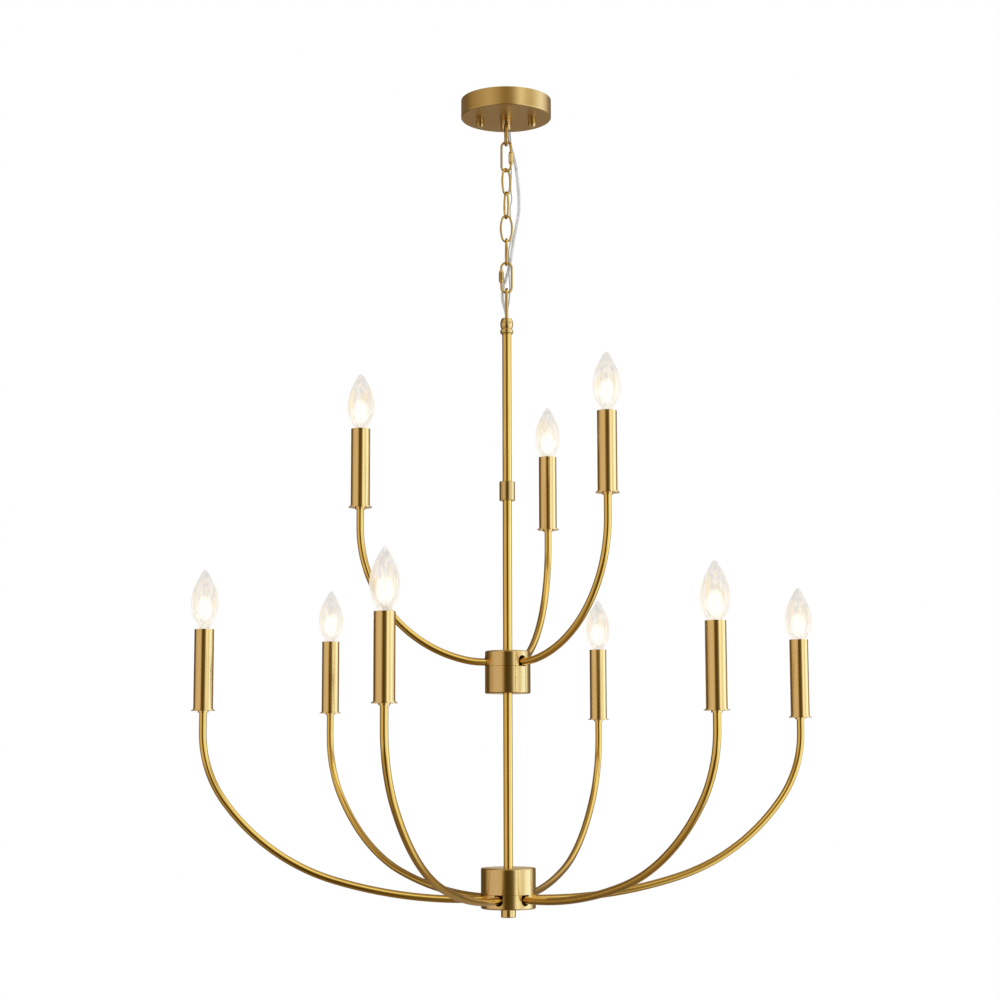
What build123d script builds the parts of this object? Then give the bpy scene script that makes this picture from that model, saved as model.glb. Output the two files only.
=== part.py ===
from build123d import *
import math
import os

# Two-tier brass candle chandelier with nine lights, hung from a ceiling canopy by a short chain.
# Millimetres, +Z up. The origin is the centre of the canopy's rim, on the ceiling plane; the object hangs below it.
# Azimuths are in degrees from +X towards +Y.

# ---------------------------------------------------------------- canopy and ceiling bracket
CANOPY_R = 60.0
CANOPY_H = 24.5
CANOPY_WALL = 1.2
CANOPY_EDGE = 1.2
BRACKET_L, BRACKET_W, BRACKET_T = 104.0, 22.0, 2.0
BOX_SCREW_SPACING = 88.9          # ceiling junction-box screws
BOX_SCREW_HOLE_R = 2.4
KNOB_SPACING = 69.0               # canopy studs and their knobs
STUD_R, STUD_LEN = 2.0, 31.0
STUD_NUT_AF, STUD_NUT_H = 7.0, 3.2
KNOB_R, KNOB_H, KNOB_BORE_R, KNOB_BORE_DEPTH = 5.25, 11.5, 2.35, 8.0
KNOB_GAP = 0.1

HEAD_R_TOP, HEAD_R_BOTTOM = 7.6, 6.7
HEAD_BOTTOM = -41.0
HEAD_SLOT_W = 5.8
HEAD_SLOT_TOP = -29.9
HEAD_SHANK_R, HEAD_SHANK_TOP = 4.7, -11.0
HEAD_NUT_AF, HEAD_NUT_H = 15.0, 4.0
PIN_R, PIN_Z, PIN_HALF = 1.5, -36.5, 6.6

BUSHING_XY = (2.6, 13.2)
BUSHING_R, BUSHING_FLANGE_R, BUSHING_FLANGE_T = 4.0, 4.9, 1.6

# ---------------------------------------------------------------- chain
GAP = 0.3                         # running gap between one link and the next
RING_WIRE, RING_W, RING_H = 4.2, 17.0, 32.1
QL_WIRE, QL_W, QL_H = 3.0, 16.8, 43.4
LINK_WIRE, LINK_W, LINK_H, LINK_END_R = 2.8, 17.6, 37.9, 5.5
LOOP_WIRE, LOOP_W = 4.5, 17.1
RING_YAW, QL1_YAW = 95.0, -25.0
LINK_YAWS = (45.0, 110.0, 180.0, 276.0)
QL2_YAW, LOOP_YAW = 0.0, 90.0
QL_NUT_AF, QL_NUT_R, QL_NUT_H, QL_NUT_BORE_R, QL_NUT_TAPER = 6.2, 3.4, 16.5, 1.7, 3.2
QL_GAP_H = 3.2

# ---------------------------------------------------------------- stem
BALL_TOP, BALL_MID, BALL_BOTTOM = -297.2, -304.0, -311.2
BALL_R_TOP, BALL_R, BALL_R_BOTTOM = 6.5, 8.5, 6.9
COLLAR_R, COLLAR_TOP, COLLAR_BOTTOM = 8.5, -312.0, -317.4
BALL_END = -319.0
BALL_SLOT_FLOOR = -305.6
ROD_R, ROD_WALL = 6.0, 1.0
ROD_SOCKET_R = 6.05
UPPER_ROD_TOP = -313.6
COUPLER_TOP, COUPLER_BOTTOM, COUPLER_R = -514.3, -539.4, 10.2
ROD_JOINT = -526.8

# ---------------------------------------------------------------- hubs
UHUB_R, UHUB_TOP, UHUB_SEAM, UHUB_BOTTOM = 29.4, -734.9, -755.0, -789.9
LHUB_R, LHUB_TOP, LHUB_SEAM, LHUB_BOTTOM = 35.0, -1010.5, -1043.7, -1062.0
HUB_WALL, HUB_END_WALL, HUB_EDGE, SEAM_CHAMFER = 2.0, 2.5, 2.0, 0.35
NOTCH_W, NOTCH_H = 11.2, 13.6
UPPER_ARM_Z = UHUB_SEAM + 5.7
LOWER_ARM_Z = LHUB_SEAM - 5.9
UCORE_R, UCORE_ARM_START = 17.0, 10.5
LCORE_R, LCORE_ARM_START = 20.0, 12.6
UPPER_ROD_END, LOWER_ROD_START, LOWER_ROD_END = -766.0, -768.0, -1031.0
FINIAL_R, FINIAL_H, FINIAL_SHANK_R, FINIAL_SHANK_TOP = 9.5, 11.0, 2.8, -1046.0

# ---------------------------------------------------------------- arms and candles
ARM_R, ARM_WALL, ARM_BORE_R = 4.75, 0.9, 4.8
LOWER_RING_R, UPPER_RING_R = 388.2, 192.6
# radius and end angle of each tangent bend, from level at the hub to upright at the candle
LOWER_BENDS = ((586.0, 17.0), (268.0, 54.0), (147.0, 90.0))
UPPER_BENDS = ((106.0, 12.0), (173.5, 90.0))
LOWER_FLANGE_Z, UPPER_FLANGE_Z = -813.8, -552.4
# (azimuth, height trim, how much higher or lower the bulb stands in its sleeve): the arms and lamp holders are set by hand,
# so each stands a little off its even share
LOWER_ARMS = ((189.4, 1.5, 4.6), (249.1, 1.9, 2.2), (307.5, -5.6, -1.3), (8.2, -6.4, -2.3), (69.8, -2.5, 1.6), (130.7, 6.2, 2.2))
UPPER_ARMS = ((191.1, 0.0, 1.7), (309.7, 3.9, 4.0), (72.7, -4.6, -0.5))

FLANGE_R, FLANGE_T = 15.0, 1.0
CUP_R, CUP_H = 12.9, 1.6
SLEEVE_R, SLEEVE_WALL, SLEEVE_LEN = 12.3, 0.8, 101.2
COLLAR_NUT_R, COLLAR_NUT_H = 6.6, 2.4
ARM_STICK_UP = 3.0                # arm end above the flange's top face
SOCKET_STEM_R, SOCKET_R, SOCKET_BORE_R, SOCKET_H = 5.0, 10.5, 7.6, 36.0
SOCKET_FLOOR = 6.0
BULB_BASE_R, BULB_BASE_LEN, BULB_SUNK = 6.9, 19.0, 27.0
BULB_TIP = 71.0
GLASS_WALL = 1.0

# ---------------------------------------------------------------- cords: (x, y, z) points of each route
POWER_D, GROUND_D = 4.4, 1.4
POWER_ROUTE = (
    (1.7, 12.6, -26.1), (1.7, 12.6, -37.0), (3.6, 10.0, -52.0), (8.4, 6.8, -68.5),
    (12.6, 4.6, -87.0), (15.0, 3.2, -108.0), (16.8, 2.2, -131.0), (16.9, 1.8, -151.0),
    (13.4, 2.4, -171.0), (9.6, 3.8, -189.0), (7.0, 5.2, -206.0), (4.6, 5.9, -222.0),
    (0.6, 6.0, -238.0), (-4.7, 5.9, -253.0), (-6.1, 4.6, -267.0), (-3.6, 2.4, -280.0),
    (0.0, 0.9, -291.5), (0.0, 0.7, -300.6), (0.0, 0.7, -309.6),
)
GROUND_ROUTE = (
    (4.9, 14.6, -26.1), (4.9, 14.6, -40.0), (6.9, 12.2, -56.5), (7.6, 9.4, -74.5),
    (6.7, 8.5, -93.0), (6.3, 8.5, -108.0), (5.8, 6.9, -121.0), (7.8, 5.2, -134.0),
    (4.7, 4.8, -145.0), (5.3, 4.7, -156.0), (6.4, 4.4, -167.0), (7.8, 4.3, -179.0),
    (5.8, 4.1, -191.0), (3.0, 3.7, -203.0), (2.8, 3.2, -215.0), (2.8, 2.6, -229.0),
    (3.6, 2.8, -243.0), (4.4, 3.4, -256.0), (4.1, 2.5, -268.0), (2.2, 0.3, -280.0),
    (0.5, -2.3, -291.0), (0.0, -2.9, -298.5), (0.0, -2.9, -305.6),
)

os.makedirs("parts", exist_ok=True)


def save(part, name):
    export_step(part, f"parts/{name}.step")


def cyl(r, z0, z1, x=0.0, y=0.0):
    """Upright cylinder between two heights."""
    lo, hi = min(z0, z1), max(z0, z1)
    return Pos(x, y, (lo + hi) / 2) * Cylinder(r, hi - lo)


def tube(ro, ri, z0, z1, x=0.0, y=0.0):
    return cyl(ro, z0, z1, x, y) - cyl(ri, min(z0, z1) - 1, max(z0, z1) + 1, x, y)


def hexagon(af, z0, z1, x=0.0, y=0.0):
    lo, hi = min(z0, z1), max(z0, z1)
    return Pos(x, y, lo) * extrude(RegularPolygon(af / 2, 6, major_radius=False), hi - lo)


def turned(points):
    """A solid turned about the Z axis from (radius, height) corners."""
    return revolve(Plane.XZ * make_face(Polyline(*points, close=True)), Axis.Z)


def bent(start, heading, steps, ro, ri=0.0):
    """A round bar or tube that runs in the XZ plane: straight steps ("L", length) and bends ("A", radius, degrees to the left)."""
    x, z = start
    t = math.radians(heading)
    out = None
    for step in steps:
        face = Plane(origin=(x, 0, z), x_dir=(0, 1, 0), z_dir=(math.cos(t), 0, math.sin(t))) * Circle(ro)
        if ri:
            face -= Plane(origin=(x, 0, z), x_dir=(0, 1, 0), z_dir=(math.cos(t), 0, math.sin(t))) * Circle(ri)
        if step[0] == "L":
            piece = extrude(face, step[1])
            x += step[1] * math.cos(t)
            z += step[1] * math.sin(t)
        else:
            r, a = step[1], math.radians(step[2])
            s = 1.0 if a > 0 else -1.0
            cx, cz = x - s * r * math.sin(t), z + s * r * math.cos(t)
            piece = revolve(face, Axis((cx, 0, cz), (0, -s, 0)), abs(step[2]))
            t += a
            x, z = cx + s * r * math.sin(t), cz - s * r * math.cos(t)
        out = piece if out is None else out + piece
    return out


def oval(width, height, wire, end_r, top, yaw):
    """A closed link: two end arcs and two flatter side arcs, its outside top at a given height."""
    a, b, r = (width - wire) / 2, (height - wire) / 2, end_r
    k, c1 = a - r, b - r
    if k < 0.05:
        link = bent((r, -(b - r)), 90, (("L", 2 * c1), ("A", r, 180), ("L", 2 * c1), ("A", r, 180)), wire / 2)
    else:
        c2 = (c1 * c1 - k * k) / (2 * k)
        big = a + c2
        half = math.degrees(math.asin(c1 / (big - r)))
        turn = 180 - 2 * half
        # starts where the right side arc meets the lower end arc
        sx, sz = -c2 + big * math.cos(math.radians(-half)), big * math.sin(math.radians(-half))
        link = bent((sx, sz), 90 - half, (("A", big, 2 * half), ("A", r, turn), ("A", big, 2 * half), ("A", r, turn)), wire / 2)
    return Pos(0, 0, top - height / 2) * Rot(0, 0, yaw) * link


def route_radii(points):
    """The largest tangent arc that each corner of a route can take."""
    v = [Vector(*p) for p in points]
    out = []
    for a, b, c in zip(v, v[1:], v[2:]):
        u, w = b - a, c - b
        turn = math.radians(u.get_angle(w))
        out.append(0.45 * min(u.length, w.length) / math.tan(turn / 2))
    return out


def cord(points, diameter, name):
    radii = route_radii(points)
    print(name, "radii", [round(r, 1) for r in radii], "smallest in diameters", round(min(radii) / diameter, 1))
    path = FilletPolyline(*points, radius=radii)
    start = Plane(origin=path @ 0, z_dir=path % 0)
    solid = sweep(start * Circle(diameter / 2), path=path)
    want = math.pi * diameter**2 / 4 * path.length
    print(name, "length", round(path.length, 1), "volume over section x length", round(solid.volume / want, 4))
    return solid


# ================================================================ ceiling side
bracket = Pos(0, 0, -BRACKET_T / 2) * Box(BRACKET_L, BRACKET_W, BRACKET_T)
bracket = fillet(bracket.edges().filter_by(Axis.Z), 5)
for s in (-1, 1):
    bracket -= cyl(STUD_R + 0.05, -5, 5, s * KNOB_SPACING / 2)
    bracket -= cyl(BOX_SCREW_HOLE_R, -5, 5, s * BOX_SCREW_SPACING / 2)
save(bracket, "mounting_bracket")

studs = Part()
for s in (-1, 1):
    x = s * KNOB_SPACING / 2
    studs += chamfer(cyl(STUD_R, 0, -STUD_LEN, x).edges().group_by(Axis.Z)[0], 0.5) + hexagon(STUD_NUT_AF, -BRACKET_T, -BRACKET_T - STUD_NUT_H, x)
save(studs, "canopy_studs")

canopy = cyl(CANOPY_R, 0, -CANOPY_H)
canopy = fillet(canopy.edges().group_by(Axis.Z)[0], CANOPY_EDGE)
canopy -= cyl(CANOPY_R - CANOPY_WALL, 5, -CANOPY_H + CANOPY_WALL)
canopy -= cyl(HEAD_SHANK_R + 0.1, 0, -40)
canopy -= cyl(BUSHING_R + 0.05, 0, -40, *BUSHING_XY)
for s in (-1, 1):
    canopy -= cyl(STUD_R + 0.5, 0, -40, s * KNOB_SPACING / 2)
save(canopy, "canopy")

head = turned(((0, -CANOPY_H), (HEAD_R_TOP, -CANOPY_H), (HEAD_R_TOP, -CANOPY_H - 4.0), (HEAD_R_BOTTOM, HEAD_BOTTOM + 0.8), (HEAD_R_BOTTOM - 0.8, HEAD_BOTTOM), (0, HEAD_BOTTOM)))
head += cyl(HEAD_SHANK_R, -CANOPY_H, HEAD_SHANK_TOP)
head -= Pos(0, 0, (HEAD_SLOT_TOP + HEAD_BOTTOM - 4) / 2) * Box(HEAD_SLOT_W, 40, HEAD_SLOT_TOP - HEAD_BOTTOM + 4)
head -= Pos(0, 0, PIN_Z) * Rot(0, 90, 0) * Cylinder(PIN_R + 0.02, 30)
head -= cyl(2.6, HEAD_SHANK_TOP + 1, -24.0)
save(head, "canopy_head")

pin = Pos(0, 0, PIN_Z) * Rot(0, 90, 0) * Cylinder(PIN_R, 2 * PIN_HALF)
save(pin, "canopy_head_pin")

head_nut = hexagon(HEAD_NUT_AF, -CANOPY_H + CANOPY_WALL, -CANOPY_H + CANOPY_WALL + HEAD_NUT_H) - cyl(HEAD_SHANK_R + 0.05, 0, -40)
save(head_nut, "canopy_head_nut")

bushing = cyl(BUSHING_R, -CANOPY_H, -CANOPY_H + CANOPY_WALL + 1.5, *BUSHING_XY)
bushing += cyl(BUSHING_FLANGE_R, -CANOPY_H, -CANOPY_H - BUSHING_FLANGE_T, *BUSHING_XY)
save(bushing, "cord_bushing")

for name, s in (("canopy_knob_left", -1), ("canopy_knob_right", 1)):
    x, top = s * KNOB_SPACING / 2, -CANOPY_H - KNOB_GAP
    knob = turned(((0, top), (KNOB_R - 0.9, top), (KNOB_R - 0.9, top - 1.4), (KNOB_R, top - 2.0), (KNOB_R, top - 4.6), (KNOB_R - 0.5, top - 5.0), (KNOB_R - 0.5, top - 5.6), (KNOB_R, top - 6.0), (KNOB_R, top - 8.6), (KNOB_R - 1.2, top - KNOB_H), (0, top - KNOB_H)))
    knob -= cyl(KNOB_BORE_R, top + 1, top - KNOB_BORE_DEPTH)
    save(Pos(x, 0, 0) * knob, name)

# ================================================================ chain, from the top down
ring_top = PIN_Z + PIN_R + GAP + RING_WIRE
save(oval(RING_W, RING_H, RING_WIRE, (RING_W - RING_WIRE) / 2, ring_top, RING_YAW), "top_ring")
z = ring_top - RING_H


def quick_link(top, yaw, side, nut_top, gap_top, name):
    """An oval of round bar with straight sides, one side cut through where its sleeve nut closes it."""
    r = (QL_W - QL_WIRE) / 2
    straight = QL_H - QL_WIRE - 2 * r
    body = bent((r, -straight / 2), 90, (("L", straight), ("A", r, 180), ("L", straight), ("A", r, 180)), QL_WIRE / 2)
    place = Pos(0, 0, top - QL_H / 2) * Rot(0, 0, yaw)
    mid = top - QL_H / 2
    body -= Pos(side * r, 0, gap_top - mid - QL_GAP_H / 2) * Box(QL_WIRE + 2, QL_WIRE + 2, QL_GAP_H)
    save(place * body, name)
    nut = turned(((0, 0), (QL_NUT_R - 1.0, 0), (QL_NUT_R, -QL_NUT_TAPER), (QL_NUT_R, -QL_NUT_H + QL_NUT_TAPER), (QL_NUT_R - 1.0, -QL_NUT_H), (0, -QL_NUT_H)))
    nut &= hexagon(QL_NUT_AF, 0, -QL_NUT_H)
    nut -= cyl(QL_NUT_BORE_R, 1, -QL_NUT_H - 1)
    save(place * Pos(side * r, 0, nut_top - mid) * nut, name + "_nut")


overlap = RING_WIRE + QL_WIRE + GAP
ql1_top = z + overlap
quick_link(ql1_top, QL1_YAW, 1, -71.4, -80.3, "upper_quick_link")
z = ql1_top - QL_H
above = QL_WIRE
for i, yaw in enumerate(LINK_YAWS):
    top = z + above + LINK_WIRE + GAP
    save(oval(LINK_W, LINK_H, LINK_WIRE, LINK_END_R, top, yaw), f"chain_link_{i + 1}")
    print("chain_link", i + 1, "top", round(top, 2), "bottom", round(top - LINK_H, 2))
    z, above = top - LINK_H, LINK_WIRE
ql2_top = z + LINK_WIRE + QL_WIRE + GAP
quick_link(ql2_top, QL2_YAW, -1, -232.3, -235.0, "lower_quick_link")
z = ql2_top - QL_H
loop_top = z + QL_WIRE + LOOP_WIRE + GAP
print("ring", ring_top, ring_top - RING_H, "quick link 1", ql1_top, ql1_top - QL_H, "quick link 2", ql2_top, ql2_top - QL_H, "loop top", loop_top)

# the fixture's hang loop: an upside-down U whose legs are brazed between the cheeks of the ball head
loop_r = (LOOP_W - LOOP_WIRE) / 2
leg = loop_top - LOOP_WIRE / 2 - loop_r - BALL_SLOT_FLOOR
loop = bent((loop_r, BALL_SLOT_FLOOR), 90, (("L", leg), ("A", loop_r, 180), ("L", leg)), LOOP_WIRE / 2)
loop = Rot(0, 0, LOOP_YAW) * loop
# the legs are dressed flush with the head's round flank
flank = cyl(40, BALL_SLOT_FLOOR - 5, BALL_TOP - 0.6) - cyl(BALL_R - 0.1, BALL_SLOT_FLOOR - 6, BALL_TOP)
save(loop - flank, "hang_loop")

# ================================================================ stem
with BuildSketch(Plane.XZ) as ball_profile:
    with BuildLine():
        ThreePointArc((BALL_R_TOP, BALL_TOP), (BALL_R, BALL_MID), (BALL_R_BOTTOM, BALL_BOTTOM))
        Polyline((BALL_R_BOTTOM, BALL_BOTTOM), (COLLAR_R - 1.0, COLLAR_TOP), (COLLAR_R, COLLAR_TOP - 0.7), (COLLAR_R, COLLAR_BOTTOM + 0.7), (COLLAR_R - 0.8, COLLAR_BOTTOM), (ROD_R + 1.1, COLLAR_BOTTOM - 0.2), (ROD_R + 0.5, BALL_END), (0, BALL_END), (0, BALL_TOP + 0.3), (BALL_R_TOP - 1.2, BALL_TOP + 0.3), (BALL_R_TOP, BALL_TOP))
    make_face()
ball = revolve(ball_profile.sketch, Axis.Z)
ball -= Pos(0, 0, (BALL_SLOT_FLOOR + BALL_TOP + 5) / 2) * Box(LOOP_WIRE, 40, BALL_TOP + 5 - BALL_SLOT_FLOOR)
ball -= cyl(ROD_SOCKET_R, UPPER_ROD_TOP, BALL_END - 1)
ball -= cyl(POWER_D / 2 + 0.1, BALL_SLOT_FLOOR + 0.1, POWER_ROUTE[-1][2], *POWER_ROUTE[-1][:2])
save(ball, "ball_head")

save(tube(ROD_R, ROD_R - ROD_WALL, UPPER_ROD_TOP, ROD_JOINT + 0.1), "upper_rod")
coupler = tube(COUPLER_R, ROD_SOCKET_R, COUPLER_TOP, COUPLER_BOTTOM)
coupler = chamfer(coupler.edges().filter_by(GeomType.CIRCLE).filter_by(lambda e: abs(e.radius - COUPLER_R) < 0.01), 0.5)
save(coupler, "rod_coupler")
save(tube(ROD_R, ROD_R - ROD_WALL, ROD_JOINT - 0.1, UPPER_ROD_END), "middle_rod")
save(tube(ROD_R, ROD_R - ROD_WALL, LOWER_ROD_START, LOWER_ROD_END), "lower_rod")


# ================================================================ hubs
def radial_bore(r, az, zc, r0, r1):
    return Rot(0, 0, az) * Pos((r0 + r1) / 2, 0, zc) * Rot(0, 90, 0) * Cylinder(r, r1 - r0)


def notch(az, seam, direction, hub_r):
    """An arch cut in from the seam: flat at the seam, round at its far end."""
    r = NOTCH_W / 2
    flat = NOTCH_H - r
    arch = Pos(0, 0, direction * flat / 2) * Box(20, NOTCH_W, flat) + Pos(0, 0, direction * flat) * Rot(0, 90, 0) * Cylinder(r, 20)
    return Rot(0, 0, az) * Pos(hub_r, 0, seam) * arch


def circles(part, radius, at):
    return part.edges().filter_by(GeomType.CIRCLE).filter_by(lambda e: abs(e.radius - radius) < 0.01 and abs(e.center().Z - at) < 0.01)


# upper hub: the body below the seam carries the core that holds the arms; the cap above the seam has the arches
body = cyl(UHUB_R, UHUB_SEAM, UHUB_BOTTOM)
body = fillet(circles(body, UHUB_R, UHUB_BOTTOM), HUB_EDGE)
body = chamfer(circles(body, UHUB_R, UHUB_SEAM), SEAM_CHAMFER)
body -= cyl(UHUB_R - HUB_WALL, UHUB_SEAM + 1, UHUB_BOTTOM + HUB_END_WALL)
body += cyl(UCORE_R, UHUB_BOTTOM + 1, UPPER_ARM_Z + 7.0)
body -= cyl(ROD_SOCKET_R, 0, UPPER_ROD_END)
body -= cyl(ROD_SOCKET_R, LOWER_ROD_START, -900)
body -= cyl(3.0, UPPER_ROD_END + 1, LOWER_ROD_START - 1)
for az, dz, lift in UPPER_ARMS:
    body -= radial_bore(ARM_BORE_R, az, UPPER_ARM_Z, UCORE_ARM_START - 0.1, UCORE_R + 5)
save(body, "upper_hub_body")

cap = cyl(UHUB_R, UHUB_SEAM, UHUB_TOP)
cap = fillet(circles(cap, UHUB_R, UHUB_TOP), HUB_EDGE)
cap = chamfer(circles(cap, UHUB_R, UHUB_SEAM), SEAM_CHAMFER)
cap -= cyl(UHUB_R - HUB_WALL, UHUB_SEAM - 1, UHUB_TOP - HUB_END_WALL)
cap -= cyl(ROD_SOCKET_R, 0, -900)
for az, dz, lift in UPPER_ARMS:
    cap -= notch(az, UHUB_SEAM, 1, UHUB_R)
save(cap, "upper_hub_cap")

# lower hub: the same turned over, with the arches below the seam
body = cyl(LHUB_R, LHUB_SEAM, LHUB_TOP)
body = fillet(circles(body, LHUB_R, LHUB_TOP), HUB_EDGE)
body = chamfer(circles(body, LHUB_R, LHUB_SEAM), SEAM_CHAMFER)
body -= cyl(LHUB_R - HUB_WALL, LHUB_SEAM - 1, LHUB_TOP - HUB_END_WALL)
body += cyl(LCORE_R, LHUB_TOP - 1, LOWER_ARM_Z - 7.0)
body -= cyl(ROD_SOCKET_R, -900, LOWER_ROD_END)
body -= cyl(FINIAL_SHANK_R + 0.3, LOWER_ROD_END + 1, -1100)
for az, dz, lift in LOWER_ARMS:
    body -= radial_bore(ARM_BORE_R, az, LOWER_ARM_Z, LCORE_ARM_START - 0.1, LCORE_R + 5)
save(body, "lower_hub_body")

cap = cyl(LHUB_R, LHUB_SEAM, LHUB_BOTTOM)
cap = fillet(circles(cap, LHUB_R, LHUB_BOTTOM), HUB_EDGE)
cap = chamfer(circles(cap, LHUB_R, LHUB_SEAM), SEAM_CHAMFER)
cap -= cyl(LHUB_R - HUB_WALL, LHUB_SEAM + 1, LHUB_BOTTOM + HUB_END_WALL)
cap -= cyl(FINIAL_SHANK_R + 0.3, -900, -1100)
for az, dz, lift in LOWER_ARMS:
    cap -= notch(az, LHUB_SEAM, -1, LHUB_R)
save(cap, "lower_hub_cap")

finial = cyl(FINIAL_R, LHUB_BOTTOM - 0.1, LHUB_BOTTOM - 0.1 - FINIAL_H)
finial = chamfer(circles(finial, FINIAL_R, LHUB_BOTTOM - 0.1 - FINIAL_H), 0.7)
finial += cyl(FINIAL_SHANK_R, LHUB_BOTTOM - 1, FINIAL_SHANK_TOP)
save(finial, "finial")


# ================================================================ arms and candles
def arm(az, arm_z, start_r, ring_r, bends, top_z):
    """A bent tube: level out of the hub, through tangent bends, then upright to the candle."""
    run = rise = 0.0
    steps, last = [], 0.0
    for r, end in bends:
        a, b = math.radians(last), math.radians(end)
        run += r * (math.sin(b) - math.sin(a))
        rise += r * (math.cos(a) - math.cos(b))
        steps.append(("A", r, end - last))
        last = end
    steps = [("L", ring_r - run - start_r)] + steps + [("L", top_z - arm_z - rise)]
    return Rot(0, 0, az) * bent((start_r, arm_z), 0, steps, ARM_R, ARM_R - ARM_WALL)


bulb_profile = (
    (BULB_BASE_R, -BULB_SUNK + BULB_BASE_LEN), (7.3, -5.5), (7.7, -2.0), (8.8, 1.5), (11.2, 5.5),
    (14.0, 10.5), (16.2, 16.5), (17.3, 23.0), (17.5, 28.0), (17.0, 35.0), (15.2, 43.5),
    (12.2, 51.5), (8.6, 59.0), (5.2, 65.0), (2.6, 69.2), (0, BULB_TIP),
)
with BuildSketch(Plane.XZ) as bulb_face:
    with BuildLine():
        Spline(*bulb_profile)
        Polyline((0, BULB_TIP), (0, -BULB_SUNK), (3.5, -BULB_SUNK), (4.2, -BULB_SUNK + 2.2), (BULB_BASE_R, -BULB_SUNK + 3.4), (BULB_BASE_R, -BULB_SUNK + BULB_BASE_LEN))
    make_face()
bulb = revolve(bulb_face.sketch, Axis.Z)
# the glass envelope is a thin shell round a sealed space
inner = [(r - GLASS_WALL, z) for r, z in bulb_profile[1:-2]]
with BuildSketch(Plane.XZ) as bulb_space:
    with BuildLine():
        Spline(*inner)
        Polyline(inner[-1], (0, inner[-1][1] + 1.2), (0, inner[0][1]), inner[0])
    make_face()
bulb -= revolve(bulb_space.sketch, Axis.Z)
print("bulb volume", round(bulb.volume / 1000, 2), "cm3")

cups, sockets = [], []
n = 0
for tier, arms, ring_r, arm_z, start_r, bends, flange_z in (
    ("lower", LOWER_ARMS, LOWER_RING_R, LOWER_ARM_Z, LCORE_ARM_START, LOWER_BENDS, LOWER_FLANGE_Z),
    ("upper", UPPER_ARMS, UPPER_RING_R, UPPER_ARM_Z, UCORE_ARM_START, UPPER_BENDS, UPPER_FLANGE_Z),
):
    for i, (az, dz, lift) in enumerate(arms):
        n += 1
        f = flange_z + dz                     # underside of the flange
        x, y = ring_r * math.cos(math.radians(az)), ring_r * math.sin(math.radians(az))
        floor = f + FLANGE_T                  # the sleeve and the socket stand on this face
        arm_top = floor + ARM_STICK_UP
        save(arm(az, arm_z, start_r, ring_r, bends, arm_top), f"{tier}_arm_{i + 1}")
        cup = cyl(FLANGE_R, f, floor, x, y) + tube(CUP_R, SLEEVE_R + 0.05, floor - 0.1, floor + CUP_H, x, y)
        cup += cyl(COLLAR_NUT_R, f, f - COLLAR_NUT_H, x, y)
        cup -= cyl(ARM_R + 0.05, f - 20, f + 20, x, y)
        cups.append(cup)
        top = floor + SLEEVE_LEN
        save(tube(SLEEVE_R, SLEEVE_R - SLEEVE_WALL, floor, top, x, y), f"{tier}_sleeve_{i + 1}")
        base = top + lift - BULB_SUNK
        sock_lo = base - 1.0 - SOCKET_FLOOR
        # its mouth stays just below the sleeve's rim
        sock_hi = min(sock_lo + SOCKET_H - 6.0, top - 0.8)
        sock = tube(SOCKET_R, SOCKET_BORE_R, sock_lo + SOCKET_FLOOR, sock_hi, x, y) + cyl(SOCKET_R, sock_lo, sock_lo + SOCKET_FLOOR + 0.2, x, y)
        sock += cyl(SOCKET_STEM_R, arm_top, sock_lo + 1, x, y)
        sock += tube(SOCKET_R - 1.0, ARM_R + 0.05, floor, arm_top + 0.0, x, y)
        sock += cyl(SOCKET_R - 1.0, arm_top, arm_top + 3.0, x, y)
        sockets.append(sock)
        save(Pos(x, y, top + lift) * bulb, f"bulb_{n}")
save(Compound(children=[c.solid() for c in cups]), "candle_cups")
save(Compound(children=[s.solid() for s in sockets]), "lamp_sockets")

# ================================================================ cords beside the chain
save(cord(POWER_ROUTE, POWER_D, "power_cord"), "power_cord")
save(cord(GROUND_ROUTE, GROUND_D, "ground_wire"), "ground_wire")
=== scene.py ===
import math
import bmesh
import bpy
from mathutils import Matrix, Vector


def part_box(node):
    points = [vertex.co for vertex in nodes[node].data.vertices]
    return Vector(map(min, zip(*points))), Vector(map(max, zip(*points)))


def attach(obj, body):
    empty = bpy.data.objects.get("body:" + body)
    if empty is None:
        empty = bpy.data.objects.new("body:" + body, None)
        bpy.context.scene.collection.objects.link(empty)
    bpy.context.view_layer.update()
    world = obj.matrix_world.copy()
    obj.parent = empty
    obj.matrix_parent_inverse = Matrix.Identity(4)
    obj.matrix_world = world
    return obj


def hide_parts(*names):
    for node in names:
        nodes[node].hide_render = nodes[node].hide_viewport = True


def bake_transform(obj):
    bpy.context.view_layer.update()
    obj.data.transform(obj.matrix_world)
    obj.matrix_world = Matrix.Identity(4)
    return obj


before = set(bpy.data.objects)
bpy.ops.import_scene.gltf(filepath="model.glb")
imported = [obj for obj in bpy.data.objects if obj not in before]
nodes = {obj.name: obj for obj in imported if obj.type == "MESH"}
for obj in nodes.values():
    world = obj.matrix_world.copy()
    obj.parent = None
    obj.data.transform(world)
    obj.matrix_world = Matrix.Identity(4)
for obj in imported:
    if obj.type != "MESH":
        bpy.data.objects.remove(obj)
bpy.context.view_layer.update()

scene = bpy.context.scene
coll = scene.collection
scene.view_settings.view_transform = "Standard"
scene.view_settings.look = "None"


# ---------------------------------------------------------------- camera
cam_data = bpy.data.cameras.new("camera")
cam_data.sensor_width = 36.0
cam_data.lens = 73.01
cam_data.clip_end = 200.0
cam_data.dof.use_dof = False
cam = bpy.data.objects.new("camera", cam_data)
coll.objects.link(cam)
cam.matrix_world = (
    Matrix.Translation((-0.00941, -2.6232, -0.8754))
    @ Matrix.Rotation(math.radians(90.0 + 7.324), 4, "X")
    @ Matrix.Rotation(math.radians(-0.145), 4, "Z")
)
scene.camera = cam


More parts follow.
